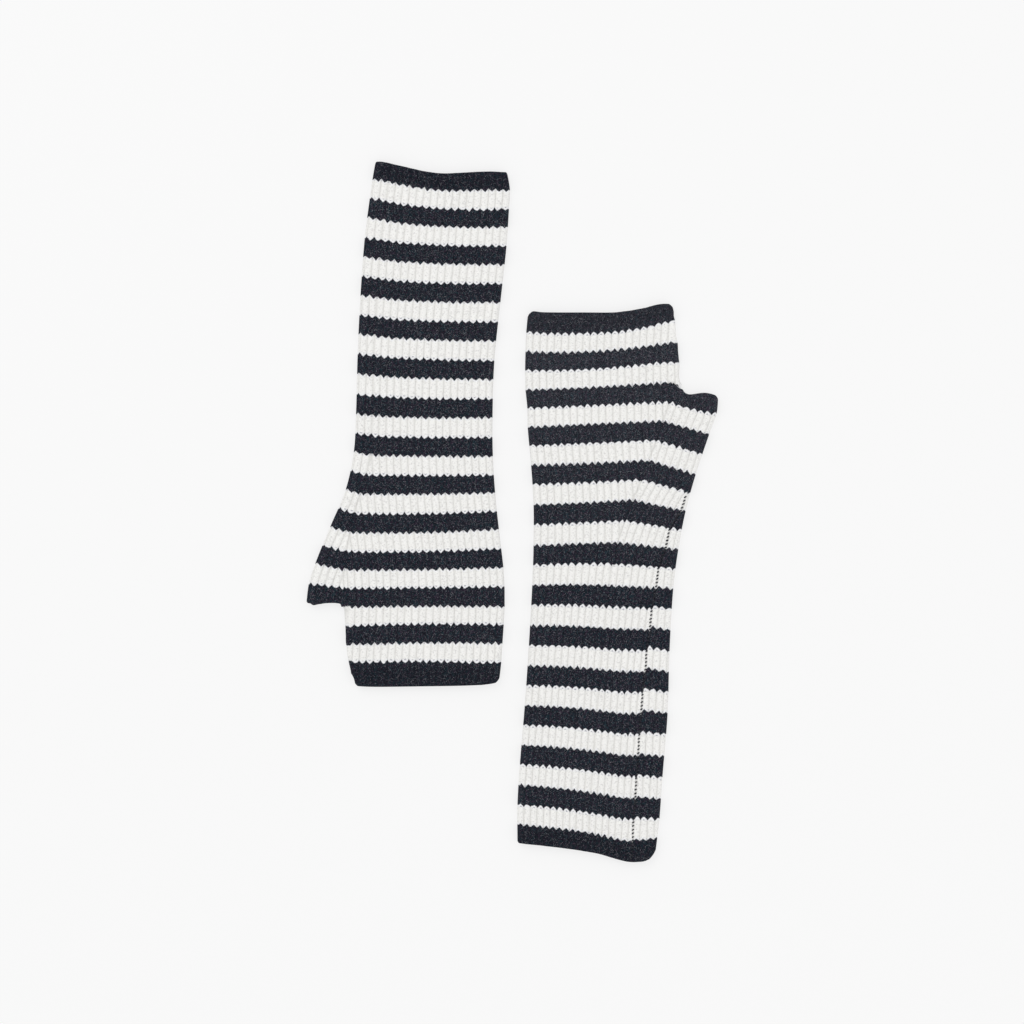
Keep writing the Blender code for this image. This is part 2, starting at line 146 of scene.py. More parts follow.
SEAM_UP = Warmer(
    node="warmer_seam_up",
    slot="wool_seam_up",
    turned=0,
    body_ribs=11,
    hand=(
        Section(0.0, 8.6, 107.2, 106.7, 75.0, 110.3, 86.0, 111.3),
        Section(1.0, 7.6, 95.7, 95.2, 75.0, 99.2, 87.1, 102.0),
        Section(2.0, 7.2, 85.6, 85.6, 75.5, 89.0, 88.4, 90.8),
        Section(3.0, 7.0, 75.5, 76.0, 76.0, 79.2, 89.4, 79.8),
        Section(3.85, 7.2, 66.8, 68.1, 80.0, 71.0, 89.7, 69.6),
        Section(4.0, 7.2, 65.2, 66.7, 84.0, 69.2, 92.0, 64.2),
    ),
    hand_hem=Hem(
        band=0, fade=2, fold_round=3.4, edge_round=2.9,
        edge=(
            (8.2, 107.2), (12.0, 107.3), (17.0, 106.8), (40.0, 106.7), (54.0, 106.7),
            (60.0, 107.3), (66.5, 108.3), (71.0, 109.2), (75.0, 110.3), (79.4, 111.2),
            (83.0, 111.3), (86.2, 111.0),
        ),
    ),
    arm=(
        Section(4.0, 7.2, 65.2, 66.7, 84.0, 69.2, 110.3, 62.0),
        Section(5.0, 8.2, 55.2, 56.8, 83.5, 58.6, 109.3, 52.4),
        Section(6.0, 8.4, 45.2, 47.0, 80.5, 48.5, 105.4, 41.5),
        Section(8.0, 10.2, 25.0, 26.0, 73.0, 27.6, 98.2, 20.0),
        Section(10.0, 11.5, 3.8, 4.9, 64.5, 6.4, 92.8, 0.4),
        Section(12.0, 11.5, -18.0, -17.0, 56.5, -16.3, 88.9, -20.0),
        Section(14.0, 10.8, -39.2, -38.8, 54.0, -39.4, 86.2, -41.0),
        Section(17.0, 9.0, -71.5, -72.0, 56.0, -73.8, 84.2, -74.4),
        Section(20.0, 6.8, -103.5, -104.6, 58.0, -107.6, 83.2, -107.5),
        Section(23.0, 4.2, -135.0, -137.2, 58.0, -141.0, 80.4, -142.0),
        Section(25.0, 2.9, -156.5, -159.2, 58.0, -164.0, 78.8, -164.2),
        Section(27.0, 2.9, -177.0, -180.6, 58.0, -186.2, 76.5, -185.6),
    ),
    arm_hem=Hem(
        band=27, fade=2, fold_round=1.4, edge_round=4.0,
        edge=(
            (2.9, -176.9), (6.7, -177.4), (15.2, -178.3), (28.1, -179.8), (40.9, -181.7),
            (47.3, -183.0), (53.8, -184.9), (60.2, -186.7), (63.4, -187.1), (66.6, -187.1),
            (70.9, -186.6), (74.1, -185.2), (76.5, -183.6),
        ),
    ),
    thumb_hem=Hem(
        band=4, fade=1, fold_round=0.0, edge_round=2.4,
        edge=(
            (84.0, 69.2), (87.0, 68.6), (89.0, 67.2), (90.5, 65.6), (92.0, 64.1), (94.0, 63.1),
            (96.0, 62.95), (99.8, 63.5), (103.0, 63.75), (106.0, 63.3), (110.3, 62.0),
        ),
    ),
    seam_on_top=True,
    worn=0.11,
)

SEAM_DOWN = Warmer(
    node="warmer_seam_down",
    slot="wool_seam_down",
    turned=180,
    body_ribs=17,
    hand=(
        Section(0.0, 6.9, 90.8, 93.2, 73.0, 93.5, 83.5, 93.1),
        Section(1.0, 5.7, 80.0, 79.7, 74.5, 80.0, 87.4, 80.0),
        Section(2.0, 5.1, 70.3, 69.9, 75.5, 70.6, 88.5, 70.6),
        Section(3.0, 4.4, 60.0, 59.7, 77.0, 60.3, 89.2, 60.8),
        Section(3.85, 4.0, 52.2, 51.8, 79.0, 52.4, 89.7, 52.0),
        Section(4.0, 3.9, 50.6, 50.4, 84.0, 50.8, 91.0, 49.8),
    ),
    hand_hem=Hem(
        band=0, fade=2, fold_round=2.6, edge_round=1.7,
        edge=(
            (6.9, 90.8), (9.4, 91.5), (12.6, 92.1), (17.0, 92.5), (27.0, 92.9), (46.0, 93.2),
            (60.0, 93.4), (72.0, 93.5), (80.0, 93.3), (83.5, 93.0),
        ),
    ),
    arm=(
        Section(4.0, 3.9, 50.6, 50.4, 84.0, 50.8, 109.9, 48.6),
        Section(5.0, 4.0, 39.7, 40.3, 89.5, 40.7, 108.6, 38.4),
        Section(6.0, 4.6, 29.6, 30.8, 89.5, 31.0, 105.2, 27.6),
        Section(8.0, 7.0, 9.2, 11.0, 86.5, 11.0, 97.2, 8.0),
        Section(10.0, 9.0, -10.3, -9.5, 81.0, -9.6, 88.9, -12.0),
        Section(12.0, 10.2, -29.7, -29.7, 74.6, -30.2, 84.6, -32.0),
        Section(14.0, 10.4, -50.5, -50.2, 68.0, -51.0, 83.4, -52.2),
        Section(17.0, 9.4, -81.0, -81.4, 65.0, -82.6, 82.5, -84.5),
        Section(20.0, 6.2, -112.0, -112.0, 62.0, -113.2, 81.0, -115.6),
        Section(23.0, 2.9, -142.3, -142.4, 61.0, -144.0, 78.7, -146.6),
        Section(25.0, 1.6, -162.0, -161.8, 60.0, -164.5, 76.0, -167.8),
        Section(26.0, 1.1, -171.9, -171.5, 60.0, -174.7, 74.6, -177.6),
        Section(27.0, 2.6, -181.7, -181.2, 60.0, -184.9, 73.0, -187.2),
    ),
    arm_hem=Hem(
        band=27, fade=2, fold_round=1.1, edge_round=1.0,
        edge=(
            (2.6, -181.7), (5.0, -181.7), (10.4, -182.0), (16.9, -181.9), (26.5, -181.4),
            (36.0, -181.0), (42.5, -181.5), (49.0, -182.6), (55.4, -184.1), (62.0, -185.6),
            (68.7, -187.1), (71.0, -187.3), (73.0, -187.2),
        ),
    ),
    thumb_hem=Hem(
        band=4, fade=1, fold_round=0.0, edge_round=1.2,
        edge=(
            (84.0, 50.8), (88.0, 50.8), (90.5, 50.3), (92.0, 49.2), (94.0, 48.75), (97.0, 48.7),
            (100.3, 48.9), (103.5, 49.4), (105.4, 49.8), (106.6, 49.8), (107.6, 49.0), (109.9, 48.6),
        ),
    ),
    seam_on_top=False,
    worn=0.0,
)


def smooth_between(keys, values, at):
    """A smooth curve through values at keys, read at one key or at many."""
    keys, values = np.array(keys, float), np.array(values, float)
    last = len(keys) - 1
    high = np.minimum(np.arange(last + 1) + 1, last)
    low = np.maximum(np.arange(last + 1) - 1, 0)
    slopes = (values[high] - values[low]) / (keys[high] - keys[low])
    i = np.clip(np.searchsorted(keys, at, side="right") - 1, 0, last - 1)
    span = keys[i + 1] - keys[i]
    t = (at - keys[i]) / span
    return (
        (1 + 2 * t) * (1 - t) ** 2 * values[i]
        + t * (1 - t) ** 2 * span * slopes[i]
        + t * t * (3 - 2 * t) * values[i + 1]
        + t * t * (t - 1) * span * slopes[i + 1]
    )


def section_at(rows, band):
    """The section at a band, between those given."""
    keys = [row.band for row in rows]
    return Section(*(float(smooth_between(keys, column, band)) for column in zip(*rows)))


def bowed_y(section, x):
    """A section's height at each x: bowed from the fold to the ridge, then down to the edge."""
    fold_x, ridge_x = section.fold_x, section.ridge_x
    left = np.maximum(section.edge_x - x, 0) / (section.edge_x - ridge_x)
    bend = max(CROTCH_BEND - abs(section.band - CROTCH_BAND) / BEND_FADE, 1)
    beyond = section.edge_y + (section.ridge_y - section.edge_y) * left**bend
    t = (x - fold_x) / (ridge_x - fold_x)
    bowed = (
        section.fold_y * (1 - t) * (1 - 2 * t)
        + section.middle_y * 4 * t * (1 - t)
        + section.ridge_y * t * (2 * t - 1)
    )
    return np.where(x > ridge_x, beyond, bowed)


def hem_room(bands_off):
    """How far a line this near an opening is drawn back, to leave room for the curled edge."""
    return HEM_TUCK * np.clip(1 - bands_off / HEM_FADE, 0, 1)


def corner_inset(distance, radius):
    """How far a round corner draws a side in, this far from the opening's edge."""
    short = max(radius - distance, 0)
    return radius - math.sqrt(radius**2 - short**2)


class Course:
    """One line across the knitting of the arm or the hand."""

    def __init__(self, warmer, rows, hems, band):
        self.warmer = warmer
        self.band = band
        self.section = section_at(rows, band)
        self.left = self.section.fold_x
        self.right = self.section.edge_x
        self.strays = []
        for hem in hems:
            end = section_at(rows, hem.band)
            room = hem_room(abs(band - hem.band))
            fold_off = abs(self.section.fold_y - end.fold_y) + room
            edge_off = abs(self.section.edge_y - end.edge_y) + room
            self.left += corner_inset(fold_off, hem.fold_round)
            self.right -= corner_inset(edge_off, hem.edge_round)
            share = max(1 - abs(band - hem.band) / hem.fade, 0)
            if share:
                self.strays.append((share, end, *zip(*hem.edge)))

    def y(self, x):
        """The course's height at each x, with what it takes from an opening's edge nearby."""
        height = bowed_y(self.section, x)
        for share, end, places, heights in self.strays:
            held_x = np.clip(x, places[0], places[-1])
            height = height + share * (
                smooth_between(places, heights, held_x) - bowed_y(end, held_x)
            )
        return height

    def seam_line(self, on_top, step=0.0):
        """The line of the seam, or of the thumb's side on a face that shows no seam.

        A step, in bands, makes it waver with the bands.
        """
        if on_top != self.warmer.seam_on_top or self.band < SEAM[0][0]:
            return self.section.edge_x
        stepped = min(self.band - step * math.cos(math.pi * self.band), BANDS)
        return float(smooth_between(*zip(*SEAM), stepped))

    def seam_x(self, on_top):
        """Where the seam runs. It lies on the thumb's side above the wrist."""
        return min(self.seam_line(on_top, SEAM_STEP), self.right)


def arm_course(warmer, band):
    return Course(warmer, warmer.arm, (warmer.arm_hem, warmer.thumb_hem), band)


def hand_course(warmer, band):
    return Course(warmer, warmer.hand, (warmer.hand_hem,), band)


def lines_of(first, ribs):
    """The ribs counted to each point across a run, from so many ribs before it."""
    return np.arange(first * POINTS_TO_A_RIB, ribs * POINTS_TO_A_RIB + 1) / POINTS_TO_A_RIB


def run_of(x, lines, low, high, valleys):
    """(x, ribs counted, rise) of a run's points, kept between two lines. Some lie in valleys."""
    held = np.clip(x, low, high)
    step = (x[-1] - x[0]) / (lines[-1] - lines[0])
    counted = lines + (held - x) / step
    share = counted - np.floor(counted)
    rise = 1 - np.abs(2 * share - 1)
    for valley in valleys:
        rise = rise * np.clip(np.abs(held - valley) / VALLEY_WIDTH, 0, 1)
    return held, counted, rise


def body_run(course, end, pitch, valleys):
    """The run of upright ribs from the fold to its end."""
    lines = lines_of(0, MOST_BODY_RIBS)
    return run_of(course.section.fold_x + pitch * lines, lines, course.left, end, valleys)


def face_columns(course, on_top, body_end=None):
    """(x, ribs counted, rise) right across one face: upright, gusset and edge ribs.

    The upright ribs stop at the gusset's line above the wrist, and at a fixed rib below it, where
    the ribs lie closer together as the panel narrows.
    """
    warmer = course.warmer
    wrist = arm_course(warmer, GUSSET_BAND)
    seam, line = course.seam_x(on_top), course.seam_line(on_top)
    width, top_width = (wrist.seam_line(top) - wrist.section.fold_x for top in (on_top, True))
    pitch = RIB_PITCH
    if course.band > GUSSET_BAND:
        pitch *= (line - course.section.fold_x) / width
    last_rib = course.section.fold_x + pitch * warmer.body_ribs
    if course.band > GUSSET_BAND:
        end, start = last_rib, last_rib
    else:
        # The two faces' ribs meet at the thumb's opening, so those below move over to the top's.
        moved = min((GUSSET_BAND - course.band) / (GUSSET_BAND - SEAM[0][0]), 1)
        end = body_end or max(last_rib, course.section.ridge_x)
        start = line - width - (top_width - width) * moved + RIB_PITCH * warmer.body_ribs
    seams = [seam] if seam < course.right else []
    lines = lines_of(-STRIP_RIBS_BEFORE, STRIP_RIBS)
    strip = run_of(start + pitch * lines, lines + GUSSET_COUNT, end, seam, [end] + seams)
    lines = lines_of(0, EDGE_RIBS)
    edge = run_of(seam + RIB_PITCH * lines, lines + EDGE_COUNT, seam, course.right, seams)
    runs = (body_run(course, end, pitch, [end]), strip, edge)
    return [np.concatenate(parts) for parts in zip(*runs)]


def dome(inward, reach):
    """From 0 at a side fold to 1 at its reach, round."""
    share = np.clip(inward / reach, 0, 1)
    return np.sqrt(1 - (1 - share) ** 2)


def rib_profile(rise):
    """A rib's height across: round, with a shallow groove between its two stitch legs."""
    crest = np.sin(rise * math.pi / 2) ** CREST_POWER
    return crest - LEG_GROOVE * np.clip((rise - GROOVE_START) / (1 - GROOVE_START), 0, 1)


def waves(x, y, seed, wavelength):
    """Soft unevenness between about -1 and 1, the same each run."""
    chance = np.random.default_rng(seed)
    total = 0.0
    for turn, phase, stretch in chance.random((WAVES, 3)):
        angle = turn * math.tau
        length = wavelength * (WAVE_SHORTEST + stretch)
        along = x * math.cos(angle) + y * math.sin(angle)
        total = total + np.sin(along / length * math.tau + phase * math.tau)
    return total / math.sqrt(WAVES)


def points_of(course, columns, on_top, hem, seed):
    """The grid points of one line of one face: x, y, z, ribs counted, band, rise."""
    x, counted, rise = columns
    fade = np.clip(hem / HEM_FADE, 0, 1)
    y = course.y(x)
    inward = np.minimum(x - course.left, course.right - x)
    rise = 0.5 + (rise - 0.5) * np.clip(inward / VALLEY_WIDTH, 0, 1)
    wobble = RIB_WOBBLE * waves(x, y, seed, RIB_WAVE) * dome(rise, 1)
    lean = STITCH_POINT * (rise - 0.5) * fade * (1 + LEAN_CHANGE * waves(x, y, seed + 1, RIB_WAVE))
    if on_top == course.warmer.seam_on_top and course.band >= SEAM[0][0]:
        seam = course.seam_x(on_top)
        beyond = np.clip((x - seam) / JOG_WIDTH, 0, 1)
        left = np.clip((course.right - x) / max(course.right - seam, JOG_WIDTH), 0, 1)
        y = y + smooth_between(*zip(*SEAM_JOG), course.band) * beyond * left * fade
    middle = VALLEY_HEIGHT / 2
    stitches = STITCH_RELIEF * -math.cos(math.tau * course.band * COURSES_TO_A_BAND)
    swell = SWELL * waves(x, y, seed + 2, SWELL_WAVE)
    if on_top:
        relief = RIB_RISE * rib_profile(rise) + stitches * rise + swell
        kept = HEM_RISE + (1 - HEM_RISE) * fade
        z = middle + dome(inward, SIDE_WALL) * (middle + relief * kept)
    else:
        relief = UNDER_RISE * (1 - rib_profile(rise))
        z = middle - dome(inward, EDGE_ROUND) * (middle - np.maximum(relief, 0))
    x = x + wobble * np.clip(inward - WOBBLE_FROM_SIDE, 0, 1)
    band = np.full_like(x, course.band)
    return np.stack([x, y + lean, z, counted, band, rise], axis=1)


def tucked(face, hem, direction):
    """The lines nearest an opening, drawn back to leave room for its curled edge."""
    face[:, 1] -= direction * hem_room(hem)
    return face


def curled_over(line, joint, course, hem, out, share, direction):
    """A line curled out over an opening, by its share of the thickness.

    The joint is the line that both faces curl to, and the round corners hold it in.
    """
    new = line.copy()
    new[:, :2] = joint[:, :2] * (1 - share) + line[:, :2] * share
    fold, edge = (
        corner_inset(HEM_TUCK - out, radius) - corner_inset(HEM_TUCK, radius)
        for radius in (hem.fold_round, hem.edge_round)
    )
    held = np.clip(new[:, 0], course.left + fold, course.right - edge)
    new[:, 1] += course.y(held) - course.y(new[:, 0]) + direction * out
    new[:, 0] = held
    middle = VALLEY_HEIGHT / 2
    new[:, 2] = middle + (line[:, 2] - middle) * share
    return new


def hem_rows(course, hem, top, below, direction):
    """Lines that curl the two faces together over an opening's edge."""
    return [
        [curled_over(face, top, course, hem, out, share, direction) for face in (top, below)]
        for out, share in HEM_CURL
    ]


def ring(top, below, side=None):
    """One closed line: over the top, down the thumb's side, back below and up the fold."""
    parts = [top] + ([side] if side is not None else []) + [below[::-1], top[:1]]
    return np.concatenate(parts)


def grid_mesh(name, rows):
    """A grid whose points are moved to the given rows."""
    data = np.stack(rows)
    count, across = data.shape[:2]
    made = bmesh.new()
    bmesh.ops.create_grid(made, x_segments=across - 1, y_segments=count - 1, size=0.5)
    mesh = bpy.data.meshes.new(name)
    made.to_mesh(mesh)
    made.free()
    flat = np.empty(len(mesh.vertices) * 3)
    mesh.vertices.foreach_get("co", flat)
    flat = flat.reshape(-1, 3) + 0.5
    row = np.rint(flat[:, 1] * (count - 1)).astype(int)
    column = np.rint(flat[:, 0] * (across - 1)).astype(int)
    points = data[row, column]
    mesh.vertices.foreach_set("co", (points[:, :3] * MM).ravel())
    add_knit_data(mesh, points[:, 3:5], points[:, 5])
    return mesh


def add_knit_data(mesh, counted, rise):
    """The map of ribs and bands, and the height across a rib, for the materials."""
    for old in list(mesh.uv_layers):
        mesh.uv_layers.remove(old)
    corners = np.empty(len(mesh.loops), np.int32)
    mesh.loops.foreach_get("vertex_index", corners)
    knit = mesh.uv_layers.new(name="knit")
    knit.data.foreach_set("uv", counted[corners].astype(np.float32).ravel())
    share = mesh.attributes.new("rise", "FLOAT", "POINT")
    share.data.foreach_set("value", rise.astype(np.float32))


def joined(name, meshes, weld):
    """One mesh of several, with points that meet made one and the faces turned outwards."""
    made = bmesh.new()
    for mesh in meshes:
        made.from_mesh(mesh)
        bpy.data.meshes.remove(mesh)
    bmesh.ops.remove_doubles(made, verts=made.verts, dist=weld)
    bmesh.ops.dissolve_degenerate(made, dist=weld / 10, edges=made.edges)
    bmesh.ops.recalc_face_normals(made, faces=made.faces)
    data = bpy.data.meshes.new(name)
    made.to_mesh(data)
    made.free()
    return data


def knit_bands(low, high):
    """The place of each line of points between two bands."""
    steps = (high - low) * COURSES_TO_A_BAND * ROWS_TO_A_COURSE
    return [low + (high - low) * i / steps for i in range(steps + 1)]


def both_faces(course, columns, hem, direction):
    """A course's upper and lower face."""
    faces = []
    for on_top in (True, False):
        seed = course.warmer.body_ribs + (0 if on_top else UNDER_SEED)
        face = points_of(course, columns[on_top], on_top, hem[on_top], seed)
        faces.append(tucked(face, hem[on_top], direction))
    return faces


def arm_lines(warmer, corner_x):
    """The arm's lines from the thumb's opening down, and its curled edge."""
    lines = []
    for band in knit_bands(CROTCH_BAND, BANDS):
        course = arm_course(warmer, band)
        columns, hems = {}, {}
        for on_top in (True, False):
            end = corner_x if band == CROTCH_BAND else None
            columns[on_top] = face_columns(course, on_top, end)
            at_thumb = np.clip((columns[on_top][0] - corner_x) / THUMB_HEM_START, 0, 1)
            to_thumb = (band - CROTCH_BAND) + BANDS * (1 - at_thumb)
            hems[on_top] = np.minimum(to_thumb, BANDS - band)
        towards_hand = -1 if band > GUSSET_BAND else 1
        faces = both_faces(course, columns, hems, towards_hand)
        for face in faces:
            past_crotch = face[:, 0] > corner_x + WELD
            face[past_crotch, 4] = np.maximum(face[past_crotch, 4], THUMB_HEM_BAND)
        lines.append(faces)
    return lines + hem_rows(course, warmer.arm_hem, *lines[-1], -1)


def hand_side(course, top, below, count):
    """The hand's side between its two faces: a half round that bulges to the thumb's side."""
    turn = math.pi * np.arange(1, count + 1) / (count + 1)
    fall = (0.5 - 0.5 * np.cos(turn))[:, None]
    side = top[-1] * (1 - fall) + below[-1] * fall
    bulge = (course.right - top[-1, 0]) * np.sin(turn)
    leaned = top[-1, 1] - course.y(top[-1, 0])
    side[:, 0] += bulge
    side[:, 1] = course.y(side[:, 0]) + leaned
    return side


def hand_lines(warmer, crotch_faces, crotch_side):
    """The hand's lines from the crotch up, and its curled edge."""
    lines = [(*crotch_faces, crotch_side)]
    for band in reversed(knit_bands(0, CROTCH_BAND)[:-1]):
        course = hand_course(warmer, band)
        columns = body_run(course, course.right - EDGE_ROUND, RIB_PITCH, [])
        hem = np.full_like(columns[0], band)
        faces = both_faces(course, {True: columns, False: columns}, {True: hem, False: hem}, 1)
        lines.append((*faces, hand_side(course, *faces, len(crotch_side))))
    top, below, side = lines[-1]
    even = (side + side[::-1]) / 2
    rows = hem_rows(course, warmer.hand_hem, top, below, 1)
    for faces, (out, share) in zip(rows, HEM_CURL):
        curled = curled_over(side, even, course, warmer.hand_hem, out, share, 1)
        lines.append((*faces, curled))
    return lines


def knit_tube(warmer):
    """The closed outer skin of a warmer."""
    corner_x = hand_course(warmer, CROTCH_BAND).right - EDGE_ROUND
    body_points = len(lines_of(0, MOST_BODY_RIBS))
    arm = arm_lines(warmer, corner_x)
    thumb = [[face[body_points - 1 :] for face in arm[0]]]
    thumb += hem_rows(arm_course(warmer, CROTCH_BAND), warmer.thumb_hem, *thumb[0], 1)
    crotch_side = [faces[0][0] for faces in thumb[1:]] + [faces[1][0] for faces in thumb[-2:0:-1]]
    crotch_faces = [face[:body_points] for face in arm[0]]
    hand = hand_lines(warmer, crotch_faces, np.array(crotch_side))
    meshes = [
        grid_mesh("arm", [ring(*faces) for faces in arm]),
        grid_mesh("thumb", [np.concatenate([top, below[::-1]]) for top, below in thumb]),
        grid_mesh("hand", [ring(*faces) for faces in hand]),
    ]
    return joined(warmer.node + "_knit", meshes, WELD * MM)


def hollow(name, outlines, step):
    """A flat cutter through rows of (x, y, band) points, a little taller for each step."""
    heights = (LOWER_WALL + LAYER_GAP + step * CUT_STEP, LOWER_WALL - step * CUT_STEP)
    rows = []
    for outline in outlines:
        x, y, band = (np.array(values, float) for values in zip(*outline))
        faces = []
        for z in heights:
            level, rise = np.full_like(x, z), np.zeros_like(x)
            faces.append(np.stack([x, y, level, x / RIB_PITCH, band, rise], axis=1))
        rows.append(faces)
    ends = []
    for top, below in (rows[0], rows[-1]):
        middle = (top + below) / 2
        ends.append((middle, middle))
    rings = [ring(*faces) for faces in [ends[0], *rows, ends[1]]]
    return joined(name, [grid_mesh(name, rings)], WELD * MM)


def hollow_outline(course, shift, widest=math.inf):
    """A row of a hollow's points, kept a wall's width inside the sides."""
    left = course.section.fold_x + SIDE_WALL
    right = min(course.section.edge_x - SIDE_WALL, widest)
    ridge = min(course.section.ridge_x, right - SIDE_WALL)
    places = (left, (left + ridge) / 2, ridge, (ridge + right) / 2, right)
    return [(x, float(course.y(x)) + shift, course.band) for x in places]


def hollows_of(warmer):
    """Cutters for the insides of the arm and hand, and for the thumb's opening."""
    arm = [arm_course(warmer, band) for band in range(CROTCH_BAND + 1, BANDS + 1)]
    hand = [hand_course(warmer, band) for band in range(CROTCH_BAND + 1)]
    crotch = arm_course(warmer, CROTCH_BAND)
    arm_runs = [(crotch, -CROTCH_CLOTH)] + [(c, 0) for c in arm] + [(arm[-1], -CUT_PAST)]
    hand_runs = [(hand[0], CUT_PAST)] + [(c, 0) for c in hand] + [(hand[-1], -CUT_PAST)]
    hand_right = hand[-2].right - SIDE_WALL
    mouth_x = (hand[-1].right + EDGE_ROUND / 4, crotch.section.edge_x - SIDE_WALL)
    middle_y = float(crotch.y(sum(mouth_x) / 2))
    mouth = [
        [(x, middle_y + shift, CROTCH_BAND) for x in mouth_x] for shift in (CUT_PAST, -CUT_PAST)
    ]
    return [
        hollow("arm_hollow", [hollow_outline(*run) for run in arm_runs], 0),
        hollow("hand_hollow", [hollow_outline(*run, hand_right) for run in hand_runs], 1),
        hollow("thumb_mouth", mouth, 2),
    ]


def new_piece(mesh):
    """An object of a mesh, named as it is."""
    piece = bpy.data.objects.new(mesh.name, mesh)
    bpy.context.scene.collection.objects.link(piece)
    return piece


def carved(mesh, cutters):
    """The mesh with the cutters taken out of it, as a new object."""
    body = new_piece(mesh)
    helpers = [new_piece(cutter) for cutter in cutters]
    for helper in helpers:
        cut = body.modifiers.new(helper.name, "BOOLEAN")
        cut.operation = "DIFFERENCE"
        cut.solver = "MANIFOLD"
        cut.object = helper
    bpy.context.view_layer.update()
    graph = bpy.context.evaluated_depsgraph_get()
    result = bpy.data.meshes.new_from_object(body.evaluated_get(graph))
    body.modifiers.clear()
    old = body.data
    body.data = result
    bpy.data.meshes.remove(old)
    for helper in helpers:
        data = helper.data
        bpy.data.objects.remove(helper)
        bpy.data.meshes.remove(data)
    return body


def lay_down(piece, warmer):
    """Turns a piece the way that its warmer lies."""
    piece.data.transform(Matrix.Rotation(math.radians(warmer.turned), 4, "Z"))


class Wire:
    """A shader socket that takes part in Python expressions."""

    def __init__(self, web, socket):
        self.web = web
        self.socket = socket

    def __add__(self, other):
        return self.web.maths("ADD", self, other)

    def __sub__(self, other):
        return self.web.maths("SUBTRACT", self, other)

    def __rsub__(self, other):
        return self.web.maths("SUBTRACT", other, self)

    def __mul__(self, other):
        return self.web.maths("MULTIPLY", self, other)

    def __abs__(self):
        return self.web.maths("ABSOLUTE", self)

    def __lt__(self, other):
        return self.web.maths("LESS_THAN", self, other)

    def __gt__(self, other):
        return self.web.maths("GREATER_THAN", self, other)

    __radd__ = __add__
    __rmul__ = __mul__

    def clamped(self):
        return self.web.maths("ADD", self, 0, clamp=True)

    def fraction(self):
        return self.web.maths("FRACT", self)

    def power(self, exponent):
        return self.web.maths("POWER", self, exponent)

    def past(self, level, sharpness):
        """From 0 at a level to 1 above it, or to 1 below it where the sharpness is negative."""
        return ((self - level) * sharpness).clamped()


class Web:
    """The node tree of one material."""

    def __init__(self, name):
        self.material = bpy.data.materials.new(name)
        self.material.use_nodes = True
        self.nodes = self.material.node_tree.nodes
        self.links = self.material.node_tree.links
        self.shader = self.nodes["Principled BSDF"]

    def node(self, kind, settings=None, inputs=None):
        made = self.nodes.new(kind)
        for name, value in (settings or {}).items():
            setattr(made, name, value)
        for name, value in (inputs or {}).items():
            self.feed(made.inputs[name], value)
        return made

    def feed(self, socket, value):
        if isinstance(value, Wire):
            self.links.new(value.socket, socket)
        elif isinstance(value, bpy.types.NodeSocket):
            self.links.new(value, socket)
        elif socket.type == "RGBA":
            socket.default_value = (*value, 1)
        else:
            socket.default_value = value

    def wire(self, kind, output, settings=None, inputs=None):
        return Wire(self, self.node(kind, settings, inputs).outputs[output])

    def maths(self, operation, *values, clamp=False):
        settings = {"operation": operation, "use_clamp": clamp}
        return self.wire("ShaderNodeMath", 0, settings, dict(enumerate(values)))

    def mix(self, share, first, second):
        """A colour between two, by a share from 0 to 1."""
        node = self.node("ShaderNodeMix", {"data_type": "RGBA"})
        for name, value in (("Factor_Float", share), ("A_Color", first), ("B_Color", second)):
            socket = next(s for s in node.inputs if s.identifier == name)
            self.feed(socket, value)
        return Wire(self, next(s for s in node.outputs if s.identifier == "Result_Color"))

    def noise(self, place, scale, detail, roughness):
        inputs = {"Vector": place, "Scale": scale, "Detail": detail, "Roughness": roughness}
        return self.wire("ShaderNodeTexNoise", "Fac", None, inputs)

    def finish(self, colour, height, roughness, gloss, strength=0.0, depth=MM):
        """The material, with a bump where it is given a height."""
        self.feed(self.shader.inputs["Base Color"], colour)
        self.feed(self.shader.inputs["Roughness"], roughness)
        self.feed(self.shader.inputs["Specular IOR Level"], gloss)
        if height is not None:
            inputs = {"Strength": strength, "Distance": depth, "Height": height}
            bump = self.node("ShaderNodeBump", None, inputs)
            self.feed(self.shader.inputs["Normal"], bump.outputs["Normal"])
        return self.material


# The wool's colours. A cream band is greyer in patches, has painted shade in its rib valleys, is
# cooler at its edges and dark in its open loops. A dark band has teal, plum and pale fibres, and deep
# places.
CREAM = (0.87, 0.865, 0.845)
CREAM_CURL = (0.66, 0.655, 0.64)
# Painted shade: the grey that the cream takes in its rib valleys.
CREAM_VALLEY_SHADE = (0.66, 0.655, 0.63)
CREAM_COOL = (0.77, 0.78, 0.84)
CREAM_LOOP = (0.20, 0.21, 0.28)
INK = (0.016, 0.017, 0.025)
INK_TEAL = (0.012, 0.027, 0.037)
INK_PLUM = (0.031, 0.020, 0.038)
INK_FLECK = (0.175, 0.172, 0.195)
INK_DEEP = (0.004, 0.005, 0.008)
THREAD_DARK = (0.010, 0.011, 0.014)
THREAD_PALE = (0.05, 0.05, 0.06)
FIBRE_DARK = (0.16, 0.16, 0.18)
FIBRE_PALE = (0.34, 0.34, 0.36)

# Noise, as (patches to a metre, detail, roughness).
PILE = (2200.0, 2.0, 0.7)
YARN_PILE = (2200.0, 2.0, 0.5)
FRAYS = (1500.0, 3.0, 0.6)
FLECKS = (1500.0, 3.0, 0.75)
CURLS = (1100.0, 2.0, 0.6)
TINTS = (850.0, 2.0, 0.6)
STITCHES = (420.0, 1.0, 0.5)

# In bands from the middle of a dark one: how far the stripes' edges stray and their loops arch, and
# where the cream's open loops and gaps lie. The sharpness and thinness are to a band.
FRAY = 0.05
LOOP_ARCH = 0.02
LOOP_PLACE = 0.62
GAP_PLACE = 1.43
EDGE_SHARPNESS = 30.0
LOOP_THINNESS = 19.0
GAP_THINNESS = 13.0

